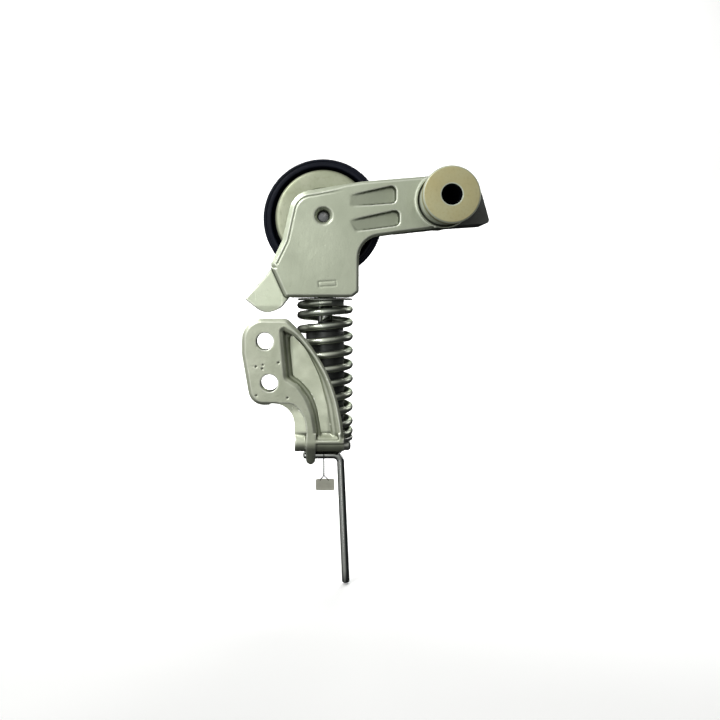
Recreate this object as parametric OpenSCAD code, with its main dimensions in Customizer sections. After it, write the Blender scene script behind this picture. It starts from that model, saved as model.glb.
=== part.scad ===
// Belt tensioner with an idler pulley and a damped spring strut.
// Origin: centre of the pivot bore at its seating face. +X to the right, +Y away from the
// seating face, +Z up. Every size is in millimetres.

/* [Pivot] */
// Radius of the bolt bore through the pivot bush
pivot_bore_r = 5.25; // [4:0.05:6]
// Radius of the head of the pivot bush
bush_head_r = 14.7; // [14.2:0.1:15]
// Radius of the grooved neck behind the head
bush_neck_r = 13.2; // [12.8:0.1:13.4]
// How far the bush head stands out of the arm's front face
bush_stand = 20; // [19:1:20]
// Radius of the journal that the arm turns on
journal_r = 10; // [9.5:0.1:10]

/* [Pulley] */
// Radius of the pulley's running face
pulley_r = 32.5; // [31:0.1:32.5]
// Width of the pulley
pulley_w = 25; // [24:1:25]
// Balls in the pulley's bearing
ball_count = 8; // [6:1:8]

/* [Strut] */
// Mean radius of the coil spring
spring_r = 13.5; // [13:0.1:13.5]
// Radius of the spring's wire
wire_r = 2; // [1.6:0.1:2]
// Turns of the spring that are open
open_turns = 8; // [6:1:8]
// Radius of the strut's rod
rod_r = 4; // [3.5:0.1:4]
// Outer radius of the damper tube
tube_r = 10.6; // [10.4:0.1:10.8]

/* [Bracket] */
// Radius of the two bolt holes in the bracket
bolt_hole_r = 4.5; // [4:0.1:5]
// Thickness of the bracket's plate
bracket_t = 10; // [9:0.5:10]

/* [Transport pin] */
// Radius of the transport pin's rod
lock_r = 2; // [1.8:0.1:2]
// Length of the transport pin's straight handle
lock_leg = 65; // [50:1:65]

/* [Hidden] */
$fn = 64;

// Fits: a running gap across a joint, and a plain gap between parts that don't touch
running = 0.05;
gap = 0.1;

// Depths along Y
arm_front = bush_stand;
plate_back = arm_front + 7;
hub_back = arm_front + 28;
block_back = arm_front + 38;
shield_front = arm_front + 8;
pulley_front = arm_front + 12;
pulley_back = pulley_front + pulley_w;
strut_y = arm_front + 20;
bracket_back = arm_front + 4;
bracket_front = bracket_back - bracket_t;

// Places in the XZ plane
pulley_x = -63.9;
pulley_z = -8.3;
strut_x = -62.6;
top_pin_z = -46.2;
spring_top = -52.9;
spring_bottom = -127.6;
foot_pin_z = -133;
lock_y = arm_front + 8;
lock_z = -136.3;
tag_x = -63.5;

// Bearing: a 17 x 40 x 12 ball bearing
bearing_mid = pulley_front + 12.5;
bearing_half = 6;
ball_r = 3.4;
pitch_r = 14.25;
race_in_r = 11.5;
race_out_r = 16.8;
bearing_bore_r = 8.5;
bearing_outer_r = 20;

// Ears of the bracket and the eye between them
left_ear = [-73.2, -68.2];
right_ear = [-57.4, -53.4];
ear_washer = 0.35;
ear_crown_r = 3.2;
bracket_pin_r = 2.2;
top_pin_r = 2.5;

// ---- helpers ----

function unit(v) = v / norm(v);

// Points of one corner [x, y, radius] between its neighbours: an arc, or the corner itself.
function corner_arc(before, corner, after) =
    let (
        p = [corner[0], corner[1]],
        u = unit([before[0], before[1]] - p),
        v = unit([after[0], after[1]] - p),
        half = acos(max(-1, min(1, u * v))) / 2,
        r = corner[2]
    )
    r == 0 || half > 89.5 ? [p] :
    let (
        centre = p + unit(u + v) * r / sin(half),
        first = p + u * r / tan(half) - centre,
        last = p + v * r / tan(half) - centre,
        start = atan2(first[1], first[0]),
        sweep = (atan2(last[1], last[0]) - start + 540) % 360 - 180,
        steps = max(2, ceil(abs(sweep) / 15))
    )
    [for (k = [0:steps]) centre + r * [cos(start + sweep * k / steps), sin(start + sweep * k / steps)]];

// A closed outline whose corners carry their own radii.
function rounded(corners) =
    let (n = len(corners))
    [for (i = [0:n - 1]) each corner_arc(corners[(i + n - 1) % n], corners[i], corners[(i + 1) % n])];

// Extrudes an XZ outline from y0 to y1.
module plate(y0, y1, corners) {
    translate([0, y1, 0]) rotate([90, 0, 0]) linear_extrude(y1 - y0) polygon(rounded(corners));
}

// Extrudes a YZ outline from x0 to x1.
module side_plate(x0, x1, corners) {
    translate([x0, 0, 0]) rotate([90, 0, 90]) linear_extrude(x1 - x0) polygon(rounded(corners));
}

// A cylinder along Y at (x, z).
module along_y(r, y0, y1, x, z) {
    translate([x, y0, z]) rotate([-90, 0, 0]) cylinder(r = r, h = y1 - y0);
}

// A cone along Y at (x, z).
module cone_y(r0, r1, y0, y1, x, z) {
    translate([x, y0, z]) rotate([-90, 0, 0]) cylinder(r1 = r0, r2 = r1, h = y1 - y0);
}

// A cylinder along X at (y, z).
module along_x(r, x0, x1, y, z) {
    translate([x0, y, z]) rotate([0, 90, 0]) cylinder(r = r, h = x1 - x0);
}

// A cylinder along Z on the strut's axis.
module on_strut(r, z0, z1) {
    translate([strut_x, strut_y, z0]) cylinder(r = r, h = z1 - z0);
}

// Turns an outline of [radius, y] points about a Y axis at (x, z).
module turned_y(x, z, points) {
    translate([x, 0, z]) rotate([-90, 0, 0]) rotate_extrude() polygon(points);
}

// A plain ring along Y.
module ring_y(inner, outer, y0, y1, x, z) {
    turned_y(x, z, [[inner, y0], [outer, y0], [outer, y1], [inner, y1]]);
}

// A plain ring along X.
module ring_x(inner, outer, x0, x1, y, z) {
    difference() {
        along_x(outer, x0, x1, y, z);
        along_x(inner, x0 - 1, x1 + 1, y, z);
    }
}

// ---- pivot group: fixed to the engine ----

// Outline of one groove around the bush's neck that starts at y.
function neck_groove(y, width, depth) =
    [
        [bush_neck_r, y], [bush_neck_r - depth, y + 0.3],
        [bush_neck_r - depth, y + width - 0.3], [bush_neck_r, y + width]
    ];

// Flanged bush: head, grooved neck, journal and a groove for the circlip.
module pivot_bush() {
    head_t = 4;
    grooves = 5;
    spacing = 2.4;
    color("khaki") turned_y(0, 0, concat(
        [[pivot_bore_r, 0], [bush_head_r - 0.6, 0], [bush_head_r, 0.6], [bush_head_r, head_t],
            [bush_neck_r, head_t + 1.2]],
        [for (k = [0:grooves - 1]) each neck_groove(head_t + 2 + spacing * k, 1.2, 0.5)],
        [[bush_neck_r, arm_front + 1], [journal_r, arm_front + 1],
            [journal_r, hub_back + 1.4], [journal_r - 0.9, hub_back + 1.4],
            [journal_r - 0.9, hub_back + 2.6], [journal_r, hub_back + 2.6],
            [journal_r, hub_back + 3.4], [journal_r - 0.8, hub_back + 4.2],
            [pivot_bore_r, hub_back + 4.2]]
    ));
}

module front_thrust_washer() {
    color("dimgray") ring_y(journal_r, bush_neck_r, arm_front + 1, arm_front + 2.4, 0, 0);
}

module rear_thrust_washer() {
    color("dimgray") ring_y(journal_r, bush_neck_r, hub_back + gap, hub_back + 1.4, 0, 0);
}

// Open ring in the journal's groove.
module pivot_circlip() {
    color("silver") difference() {
        ring_y(journal_r - 0.9, journal_r + 2.4, hub_back + 1.4, hub_back + 2.6, 0, 0);
        translate([-2.5, hub_back, 0]) cube([5, 4, 20]);
    }
}

// ---- arm group ----

// Face of the casting: beam, pulley cover and the block over the strut.
arm_outline = [
    [0, 13.4, 0], [-43.6, 9.8, 14], [-80.1, 3.8, 12.5], [-85.6, -21, 10], [-92, -34, 2.5],
    [-84.2, -51.3, 2], [-48.6, -51.3, 1], [-45.2, -48.6, 1], [-45.2, -20.3, 12], [2, -13.9, 0]
];
fin_outline = [
    [-88.6, -30.6, 3], [-82, -36, 0], [-82, -51.3, 0], [-86.5, -57.2, 9], [-95.5, -60.6, 9],
    [-106.2, -52.2, 1.2], [-94, -39, 30]
];
// Two slots that start at slot_x and deepen towards the hub
slot_x = -50;
slot_slope = 7;
slot_outlines = [
    [[-50.4, 2.4, 1], [-25.6, 8, 2.6], [-25.6, -1.6, 2.4], [-50.4, -3.5, 1.5]],
    [[-50.4, -10.9, 1], [-23.8, -4.9, 2.6], [-23.8, -13.4, 2.4], [-47, -16.6, 1.5]]
];
hub_r = 15;
hub_back_r = 13.6;

// Outside of the hub, drawn in towards the back.
module hub() {
    cone_y(hub_r, hub_back_r, arm_front, hub_back, 0, 0);
}

// Cutter for a slot whose floor slopes down from slot_x.
module sloped_slot(outline) {
    reach = 8;
    moved = [for (c = outline) [c[0] - slot_x, c[1], c[2]]];
    translate([slot_x, arm_front, 0]) rotate([0, 0, slot_slope]) plate(-reach, 0, moved);
}

module arm_solid() {
    plate(arm_front, plate_back, arm_outline);
    // fin beside the block, set back from the face
    plate(arm_front + 2, arm_front + 11, fin_outline);
    hub();
    // beam walls behind the face, up to the pulley
    plate(plate_back, hub_back - 6, [[0, 13.3, 0], [-27.5, 11, 3], [-27.5, 7.4, 0], [0, 9, 0]]);
    plate(plate_back, hub_back - 8, [[0, -10.4, 0], [-27.5, -13.4, 0], [-27.5, -17, 3], [0, -14, 0]]);
    plate(plate_back, hub_back - 12, [[0, 2, 0], [-28.5, 0, 0], [-28.5, -3.4, 0], [0, -2, 0]]);
    // side walls of the block, below the pulley
    plate(plate_back, block_back, [[-49.4, -39, 1], [-45.2, -37.4, 0], [-45.2, -48, 1], [-49.4, -48, 1]]);
    plate(plate_back, block_back, [[-84.6, -40.4, 1], [-79.4, -40.4, 1], [-79.4, -48, 1], [-84.6, -48, 1]]);
    // rear wall of the block
    plate(block_back - 4.6, block_back, [
        [-84.6, -42.2, 1], [-45.2, -42.2, 1], [-45.2, -48.6, 1], [-48, -51.3, 1], [-82, -51.3, 1],
        [-84.6, -48.6, 1]
    ]);
    // bosses for the strut's top pin
    along_y(4, plate_back, strut_y - 6, strut_x, top_pin_z);
    along_y(4, strut_y + 6, block_back, strut_x, top_pin_z);
    // boss that the pulley's bearing stands on
    along_y(9, plate_back, shield_front, pulley_x, pulley_z);
}

// Cast arm with its bores, slots and threaded hole.
module tensioner_arm() {
    color([0.72, 0.74, 0.66]) difference() {
        arm_solid();
        along_y(12, arm_front - 1, hub_back + 1, 0, 0);
        along_y(bush_neck_r + 0.9, arm_front - 1, arm_front + 2.5, 0, 0);
        for (outline = slot_outlines) sloped_slot(outline);
        along_y(3.35, arm_front - 1, block_back, pulley_x, pulley_z);
        cone_y(4.9, 3.35, arm_front - 0.01, arm_front + 1.4, pulley_x, pulley_z);
        along_y(top_pin_r, arm_front + 3, block_back + 1, strut_x, top_pin_z);
        // relief for the spring's upper seat as the strut tilts
        on_strut(seat_r + 1.2, spring_top - 2, spring_top + seat_t + 1.4);
    }
}

// Plain bearing pressed into the hub.
module pivot_liner() {
    color("saddlebrown") ring_y(journal_r + running, 12, arm_front + 2.5, hub_back, 0, 0);
}

// Dark cover behind the hub, with a square corner.
module hub_cover() {
    color([0.25, 0.26, 0.26]) difference() {
        plate(arm_front + 5, hub_back - 4, [
            [4, 15, 0], [12, 15, 5], [20.6, 5.5, 8], [25.4, -11.8, 2], [4, -13.2, 0], [4, 0, 0]
        ]);
        hub();
    }
}

// Dished steel disc between the arm's boss and the bearing.
module dust_shield() {
    color("gainsboro") turned_y(pulley_x, pulley_z, [
        [3.4, shield_front], [25, shield_front], [25.8, shield_front + 0.8], [25.8, shield_front + 3.4],
        [24.8, shield_front + 3.4], [24.8, shield_front + 1.1], [3.4, shield_front + 1.1]
    ]);
}

module bearing_spacer() {
    color("lightgray") union() {
        ring_y(4.2, 10.6, shield_front + 1.1, bearing_mid - bearing_half, pulley_x, pulley_z);
        ring_y(4.2, bearing_bore_r, bearing_mid - bearing_half, bearing_mid + bearing_half,
            pulley_x, pulley_z);
    }
}

// Half of a race's groove, as points around the ball's centre.
function groove(r, from, to) =
    let (step = (to - from) / 6)
    [for (k = [0:6]) [pitch_r, bearing_mid] + r * [cos(from + step * k), sin(from + step * k)]];

module bearing_inner_ring() {
    color("lightgray") turned_y(pulley_x, pulley_z, concat(
        [[bearing_bore_r, bearing_mid - bearing_half], [race_in_r, bearing_mid - bearing_half]],
        groove(ball_r + running, 218, 142),
        [[race_in_r, bearing_mid + bearing_half], [bearing_bore_r, bearing_mid + bearing_half]]
    ));
}

module pulley_washer() {
    color("silver") ring_y(4.2, 11, bearing_mid + bearing_half, bearing_mid + bearing_half + 2.2,
        pulley_x, pulley_z);
}

// Flanged hex bolt, driven into the arm from behind.
module pulley_bolt() {
    seat = bearing_mid + bearing_half + 2.2;
    color("dimgray") union() {
        along_y(3.3, arm_front + 2.2, seat - 18, pulley_x, pulley_z);
        along_y(4, shield_front + 1.4, seat, pulley_x, pulley_z);
        along_y(8, seat, seat + 1.4, pulley_x, pulley_z);
        translate([pulley_x, seat + 1.4, pulley_z]) rotate([-90, 0, 0]) cylinder(r = 7.5, h = 4.6, $fn = 6);
    }
}

module strut_top_pin() {
    color("silver") union() {
        along_y(top_pin_r, arm_front + 3.2, block_back, strut_x, top_pin_z);
        along_y(3.8, block_back, block_back + 1.5, strut_x, top_pin_z);
    }
}

// ---- pulley group ----

module pulley_rim() {
    half = pulley_w / 2;
    wall = 5;
    color([0.07, 0.08, 0.11]) turned_y(pulley_x, pulley_z, [
        [bearing_outer_r, bearing_mid - bearing_half], [bearing_outer_r + 2.6, bearing_mid - bearing_half],
        [bearing_outer_r + 3, bearing_mid - 3], [pulley_r - wall, bearing_mid - 3],
        [pulley_r - wall, bearing_mid - half + 0.8], [pulley_r - wall + 0.8, bearing_mid - half],
        [pulley_r - 1, bearing_mid - half], [pulley_r, bearing_mid - half + 1],
        [pulley_r, bearing_mid + half - 1], [pulley_r - 1, bearing_mid + half],
        [pulley_r - wall + 0.8, bearing_mid + half], [pulley_r - wall, bearing_mid + half - 0.8],
        [pulley_r - wall, bearing_mid + 3], [bearing_outer_r + 3, bearing_mid + 3],
        [bearing_outer_r + 2.6, bearing_mid + bearing_half], [bearing_outer_r, bearing_mid + bearing_half]
    ]);
}

module bearing_outer_ring() {
    color("lightgray") turned_y(pulley_x, pulley_z, concat(
        [[bearing_outer_r, bearing_mid + bearing_half], [race_out_r, bearing_mid + bearing_half]],
        groove(ball_r, 42, -42),
        [[race_out_r, bearing_mid - bearing_half], [bearing_outer_r, bearing_mid - bearing_half]]
    ));
}

// Puts its children once for each ball.
module each_ball() {
    for (k = [0:ball_count - 1])
        translate([pulley_x, bearing_mid, pulley_z]) rotate([0, 360 / ball_count * k, 0])
            translate([pitch_r, 0, 0]) children();
}

module bearing_balls() {
    color("white") each_ball() sphere(r = ball_r - 0.02);
}

module ball_cage() {
    color("peru") difference() {
        ring_y(pitch_r - 0.8, pitch_r + 0.8, bearing_mid - 4, bearing_mid + 4, pulley_x, pulley_z);
        each_ball() rotate([0, 90, 0]) cylinder(r = ball_r + gap, h = 6, center = true);
    }
}

// Seal between the rings, clear of the inner one.
module bearing_seal(y0) {
    color([0.12, 0.12, 0.12])
        ring_y(race_in_r + 0.3, race_out_r - 0.02, y0, y0 + 0.8, pulley_x, pulley_z);
}

module front_seal() {
    bearing_seal(bearing_mid - bearing_half + 0.3);
}

module rear_seal() {
    bearing_seal(bearing_mid + bearing_half - 1.1);
}

// ---- strut group ----

eye_half = 5.5;
eye_bush_r = 3.2;
piston_top = -102;
piston_bottom = -110;
piston_r = 8.8;
seat_t = 1.2;
seat_r = 15.1;

// Rod with an eye on top and a stepped end that carries the piston.
module strut_rod() {
    color("silver") difference() {
        union() {
            along_y(4.6, strut_y - eye_half, strut_y + eye_half, strut_x, top_pin_z);
            on_strut(rod_r, piston_top, top_pin_z);
            on_strut(2.5, piston_bottom - 1, piston_top);
            on_strut(3.6, piston_bottom - 2.4, piston_bottom - gap);
            on_strut(6, spring_top - 0.2, spring_top + 2);
        }
        along_y(eye_bush_r, strut_y - 10, strut_y + 10, strut_x, top_pin_z);
    }
}

module strut_eye_bush() {
    color("peru") ring_y(top_pin_r + running, eye_bush_r, strut_y - eye_half, strut_y + eye_half,
        strut_x, top_pin_z);
}

// Round plate over the spring, with a lip inside the first coil.
module upper_spring_seat() {
    color("silver") difference() {
        union() {
            on_strut(seat_r, spring_top, spring_top + seat_t);
            on_strut(10.6, spring_top - 3, spring_top);
        }
        on_strut(6, spring_top - 0.2, spring_top + 4);
        on_strut(rod_r, spring_top - 10, spring_top);
        on_strut(9, spring_top - 4, spring_top - 1);
    }
}

module damper_piston() {
    color("dimgray") difference() {
        on_strut(piston_r, piston_bottom, piston_top - gap);
        on_strut(2.5 + running, piston_bottom - 1, piston_top + 1);
    }
}

// Height of the coil's centre line after a number of turns from the bottom.
closed_pitch = 2 * wire_r + 0.05;
total_turns = open_turns + 2;
coil_height = spring_top - spring_bottom - 2 * wire_r;
open_pitch = (coil_height - 2 * closed_pitch) / open_turns;
function coil_z(turns) =
    spring_bottom + wire_r + (turns < 1 ? turns * closed_pitch :
    turns < total_turns - 1 ? closed_pitch + (turns - 1) * open_pitch :
    closed_pitch + open_turns * open_pitch + (turns - total_turns + 1) * closed_pitch);

// Right-handed coil that starts and ends at the front, swept with an eight-sided wire.
module coil_spring() {
    sides = 8;
    per_turn = 16;
    rings = total_turns * per_turn;
    function ring_point(k, s) =
        let (
            around = -90 + 360 * k / per_turn,
            out = spring_r + wire_r * cos(360 * s / sides)
        )
        [
            strut_x + out * cos(around), strut_y + out * sin(around),
            coil_z(k / per_turn) + wire_r * sin(360 * s / sides)
        ];
    points = [for (k = [0:rings]) for (s = [0:sides - 1]) ring_point(k, s)];
    walls = [
        for (k = [0:rings - 1]) for (s = [0:sides - 1])
            let (low = k * sides, high = low + sides, next = (s + 1) % sides)
            [low + s, low + next, high + next, high + s]
    ];
    caps = [
        [for (s = [sides - 1:-1:0]) s],
        [for (s = [0:sides - 1]) rings * sides + s]
    ];
    color("lightslategray") polyhedron(points = points, faces = concat(walls, caps), convexity = 10);
}

// ---- foot group: slides on the piston ----

tube_top = -66;
tube_floor = -126.4;
tube_bore_r = piston_r + running;
tube_seat = 1;
seat_bottom = spring_bottom - 2;
foot_bush_r = 2.9;

module damper_tube() {
    color([0.3, 0.31, 0.32]) difference() {
        on_strut(tube_r, spring_bottom - tube_seat, tube_top);
        on_strut(tube_bore_r, tube_floor, tube_top + 1);
    }
}

// Guide pressed into the mouth of the tube.
module rod_guide() {
    color("dimgray") difference() {
        on_strut(tube_bore_r, tube_top - 5, tube_top);
        on_strut(rod_r + running, tube_top - 6, tube_top + 1);
    }
}

// Spring plate with a recess for the tube and the eye that the bracket hangs on.
module strut_foot() {
    eye_x0 = left_ear[1] + ear_washer + gap;
    eye_x1 = right_ear[0] - ear_washer - gap;
    eye_r = 4.4;
    color([0.62, 0.64, 0.62]) difference() {
        union() {
            on_strut(15.4, seat_bottom, spring_bottom);
            translate([eye_x0, strut_y - eye_r, foot_pin_z])
                cube([eye_x1 - eye_x0, 2 * eye_r, seat_bottom - foot_pin_z]);
            along_x(eye_r, eye_x0, eye_x1, strut_y, foot_pin_z);
        }
        on_strut(tube_r, spring_bottom - tube_seat, spring_bottom + 1);
        along_x(foot_bush_r, eye_x0 - 1, eye_x1 + 1, strut_y, foot_pin_z);
    }
}

module foot_bush() {
    color("peru") ring_x(bracket_pin_r + running, foot_bush_r, left_ear[1] + ear_washer + gap,
        right_ear[0] - ear_washer - gap, strut_y, foot_pin_z);
}

// ---- bracket group ----

bracket_holes = [[-94.6, -74.5], [-92.3, -96.2]];
barrel_r = 5;
barrel_y = bracket_front + barrel_r + 0.5;
barrel_z = -127.6;
bracket_outline = [
    [-83, -62.8, 3], [-106.6, -62.6, 11], [-106.6, -81, 10], [-102, -107.8, 8], [-79.2, -107.4, 11],
    [-79.2, barrel_z, 0], [-53.2, barrel_z, 0], [-54.2, -117.2, 50], [-57.2, -103.3, 50],
    [-62.2, -90.2, 50], [-70.2, -77.2, 50], [-77.2, -68.6, 20]
];
// Ledge inside the rim, the deep web within it and the leg that steps back beside the left rib
ledge_depth = 2.2;
web_depth = 5.2;
leg_depth = 3.2;
ledge_outline = [
    [-85.8, -67.6, 1], [-76.6, -73.3, 20], [-68.4, -83.5, 40], [-62.5, -94.4, 40], [-58.5, -107.3, 40],
    [-56, -126, 0], [-67.9, -126, 0], [-67.9, -121.2, 20], [-69.4, -112.2, 20], [-72.4, -104.3, 20],
    [-77.3, -97.4, 10], [-83.4, -93.6, 2]
];
web_outline = [
    [-81.4, -70.2, 1], [-73.4, -78.5, 20], [-66.4, -92.4, 40], [-62.5, -107.3, 40], [-59.5, -126, 0],
    [-65.4, -126, 0], [-65.4, -121.2, 20], [-67.4, -109.3, 20], [-70.4, -101.3, 20], [-75.9, -95.4, 10],
    [-80, -92.6, 1.5], [-81.4, -78, 10]
];
leg_outline = [
    [-92, -107, 0], [-80.6, -106.6, 6], [-76.2, -110.3, 8], [-73.6, -115.4, 10], [-72.9, -123, 0],
    [-72.9, -130, 0], [-92, -130, 0]
];
ear_top = seat_bottom - 0.7;
hinge_low = foot_pin_z - 4.4;
ear_back = strut_y + ear_crown_r - 0.1;
left_ear_outline = [
    [bracket_front, -120, 0], [bracket_back, -120, 0], [bracket_back, ear_top, 0.8],
    [ear_back, ear_top, 2.9], [ear_back, hinge_low, 3], [strut_y - 6, hinge_low - 0.4, 3],
    [lock_y + 3, -140.4, 3], [lock_y - 7.4, -140.4, 5], [bracket_front, -129.4, 8]
];
right_ear_outline = [
    [bracket_front + 4, -122, 0], [bracket_back, -122, 0], [bracket_back, ear_top, 0.8],
    [ear_back, ear_top, 2.9], [ear_back, hinge_low, 3], [strut_y - 4.4, hinge_low, 3],
    [strut_y - 4.4, -132.6, 1], [bracket_front + 4, -132.6, 2]
];

// Plate with its stepped web and leg, before the rolled lower edge is added.
module bracket_plate() {
    difference() {
        plate(bracket_front, bracket_back, bracket_outline);
        plate(bracket_front - 1, bracket_front + ledge_depth, ledge_outline);
        plate(bracket_front - 1, bracket_front + web_depth, web_outline);
        plate(bracket_front - 1, bracket_front + leg_depth, leg_outline);
    }
}

// Cast bracket with two bolt holes, a rolled lower edge and a pair of ears.
module mounting_bracket() {
    color([0.74, 0.76, 0.69]) difference() {
        union() {
            bracket_plate();
            along_x(barrel_r, -79.2, right_ear[1] + 0.2, barrel_y, barrel_z);
            side_plate(left_ear[0], left_ear[1], left_ear_outline);
            side_plate(right_ear[0], right_ear[1], right_ear_outline);
        }
        for (hole = bracket_holes)
            along_y(bolt_hole_r, bracket_front - 1, bracket_back + 1, hole[0], hole[1]);
        along_x(bracket_pin_r, left_ear[0] - 1, right_ear[1] + 1, strut_y, foot_pin_z);
        along_x(lock_r + 0.06, left_ear[0] - 1, left_ear[1] + 1, lock_y, lock_z);
    }
}

// Headed pin through the ears, grooved for its clip.
module bracket_pin() {
    head_length = 5;
    color("silver") difference() {
        union() {
            along_x(bracket_pin_r, left_ear[0] - 2.4, right_ear[1], strut_y, foot_pin_z);
            along_x(ear_crown_r, right_ear[1], right_ear[1] + head_length, strut_y, foot_pin_z);
        }
        ring_x(bracket_pin_r - 0.5, bracket_pin_r + 1, left_ear[0] - 1, left_ear[0], strut_y, foot_pin_z);
    }
}

module bracket_pin_clip() {
    color("silver") difference() {
        ring_x(bracket_pin_r - 0.5, ear_crown_r, left_ear[0] - 1, left_ear[0], strut_y, foot_pin_z);
        translate([left_ear[0] - 2, strut_y - 1, foot_pin_z - 8]) cube([3, 2, 8]);
    }
}

// Two thin washers beside the foot's eye.
module bracket_washers() {
    color("dimgray") for (x = [left_ear[1], right_ear[0] - ear_washer])
        ring_x(bracket_pin_r, ear_crown_r, x, x + ear_washer, strut_y, foot_pin_z);
}

// ---- transport pin and tag ----

bend_r = 4;
bend_x = -58.5;
bend_angle = 87.5;

// Bent rod: a short leg through the ear, a bend and a long handle.
module transport_pin() {
    color("gainsboro") union() {
        along_x(lock_r, left_ear[0] - 1.6, bend_x, lock_y, lock_z);
        translate([bend_x, lock_y, lock_z - bend_r]) rotate([90, 0, 0]) intersection() {
            rotate_extrude() translate([bend_r, 0]) circle(r = lock_r);
            linear_extrude(3 * lock_r, center = true)
                polygon([[0, 0], 4 * bend_r * [cos(90 - bend_angle), sin(90 - bend_angle)],
                    5 * bend_r * [1, 1], [0, 4 * bend_r]]);
        }
        translate([bend_x, lock_y, lock_z - bend_r]) rotate([0, bend_angle, 0])
            translate([0, 0, bend_r]) rotate([0, 90, 0]) cylinder(r = lock_r, h = lock_leg);
    }
}

wire_gauge = 0.32;
fork_z = -147;
tag_top = -149.2;

// A wire between two points in the XZ plane through the pin.
module strand(x0, z0, x1, z1) {
    length = norm([x1 - x0, z1 - z0]);
    translate([x0, lock_y, z0]) rotate([0, atan2(x1 - x0, z1 - z0), 0])
        cylinder(r = wire_gauge, h = length, $fn = 16);
}

// Wire looped over the pin, forked above the tag.
module tag_wire() {
    loop_r = lock_r + 0.25 + wire_gauge;
    color("silver") union() {
        translate([tag_x, lock_y, lock_z]) rotate([0, 90, 0])
            rotate_extrude() translate([loop_r, 0]) circle(r = wire_gauge, $fn = 16);
        strand(tag_x, fork_z, tag_x, lock_z - loop_r);
        strand(tag_x, fork_z, tag_x - 2, tag_top - 0.4);
        strand(tag_x, fork_z, tag_x + 2.4, tag_top - 0.4);
    }
}

module tag_plate() {
    color([0.8, 0.78, 0.72]) plate(lock_y - 0.35, lock_y + 0.35, [
        [tag_x - 4.4, tag_top, 0.5], [tag_x + 5.6, tag_top, 0.5],
        [tag_x + 5.6, tag_top - 6.2, 0.5], [tag_x - 4.4, tag_top - 6.2, 0.5]
    ]);
}

pivot_bush();
front_thrust_washer();
rear_thrust_washer();
pivot_circlip();
tensioner_arm();
pivot_liner();
hub_cover();
dust_shield();
bearing_spacer();
bearing_inner_ring();
pulley_washer();
pulley_bolt();
strut_top_pin();
pulley_rim();
bearing_outer_ring();
bearing_balls();
ball_cage();
front_seal();
rear_seal();
strut_rod();
strut_eye_bush();
upper_spring_seat();
damper_piston();
coil_spring();
damper_tube();
rod_guide();
strut_foot();
foot_bush();
mounting_bracket();
bracket_pin();
bracket_pin_clip();
bracket_washers();
transport_pin();
tag_wire();
tag_plate();
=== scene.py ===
"""Looks of the belt tensioner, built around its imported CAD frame.

Sizes are in millimetres until a mesh is made. The camera, the lights and the stage are in metres.
"""

import math

import bmesh
import bpy
import numpy as np
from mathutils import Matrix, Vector


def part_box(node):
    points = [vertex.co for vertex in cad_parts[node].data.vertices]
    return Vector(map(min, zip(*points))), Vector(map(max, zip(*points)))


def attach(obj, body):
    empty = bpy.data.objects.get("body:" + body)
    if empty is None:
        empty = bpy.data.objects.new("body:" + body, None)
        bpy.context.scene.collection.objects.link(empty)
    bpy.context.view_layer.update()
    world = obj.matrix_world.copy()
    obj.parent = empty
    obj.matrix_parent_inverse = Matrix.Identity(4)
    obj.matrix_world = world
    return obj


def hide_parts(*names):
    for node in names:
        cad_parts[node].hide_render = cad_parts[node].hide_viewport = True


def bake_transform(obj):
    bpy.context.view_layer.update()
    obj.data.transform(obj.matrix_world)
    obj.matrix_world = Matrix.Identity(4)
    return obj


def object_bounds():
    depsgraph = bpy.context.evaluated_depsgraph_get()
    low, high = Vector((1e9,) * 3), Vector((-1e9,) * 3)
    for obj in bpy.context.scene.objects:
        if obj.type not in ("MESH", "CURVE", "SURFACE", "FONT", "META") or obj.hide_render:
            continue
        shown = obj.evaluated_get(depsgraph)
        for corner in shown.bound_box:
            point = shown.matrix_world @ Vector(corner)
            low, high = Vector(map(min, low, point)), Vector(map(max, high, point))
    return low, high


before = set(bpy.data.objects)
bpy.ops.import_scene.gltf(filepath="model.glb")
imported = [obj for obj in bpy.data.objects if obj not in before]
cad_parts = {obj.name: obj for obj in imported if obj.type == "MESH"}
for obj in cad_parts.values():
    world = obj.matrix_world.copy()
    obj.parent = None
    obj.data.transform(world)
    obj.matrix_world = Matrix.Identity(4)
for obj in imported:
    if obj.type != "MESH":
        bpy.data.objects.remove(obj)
cad_low, cad_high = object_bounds()
MM = 0.001


# ---- places taken from the frame, in millimetres ----

def box_mm(node):
    """Lowest and highest corner of a CAD node."""
    low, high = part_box(node)
    return low / MM, high / MM


def middle(node):
    """Centre of a CAD node's box."""
    low, high = box_mm(node)
    return (low + high) / 2


ARM_FRONT = box_mm("tensioner_arm")[0].y
BRACKET_FRONT = box_mm("mounting_bracket")[0].y
PULLEY = middle("pulley_rim")
STRUT = middle("damper_tube")
HINGE = middle("bracket_pin_clip")


# ---- camera, light and stage ----

def make_camera():
    """Level camera in front of the upper left of the part, framed as the reference view."""
    data = bpy.data.cameras.new("camera")
    camera = bpy.data.objects.new("camera", data)
    bpy.context.scene.collection.objects.link(camera)
    camera.location = (-0.0737, -0.365, -0.0555)
    camera.rotation_euler = (math.radians(90), 0, 0)
    data.sensor_width = 36
    data.lens = 36.46
    data.shift_x = 0.0764
    data.shift_y = -0.0764
    data.clip_start = 0.01
    bpy.context.scene.camera = camera


def area_light(name, place, target, size, power, tall=None):
    """Round soft light, or an upright strip when tall gives its height."""
    data = bpy.data.lights.new(name, "AREA")
    data.shape = "RECTANGLE" if tall else "DISK"
    data.size = size
    if tall:
        data.size_y = tall
    data.energy = power
    light = bpy.data.objects.new(name, data)
    bpy.context.scene.collection.objects.link(light)
    light.location = place
    light.rotation_euler = (Vector(target) - Vector(place)).to_track_quat("-Z", "Y").to_euler()


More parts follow.
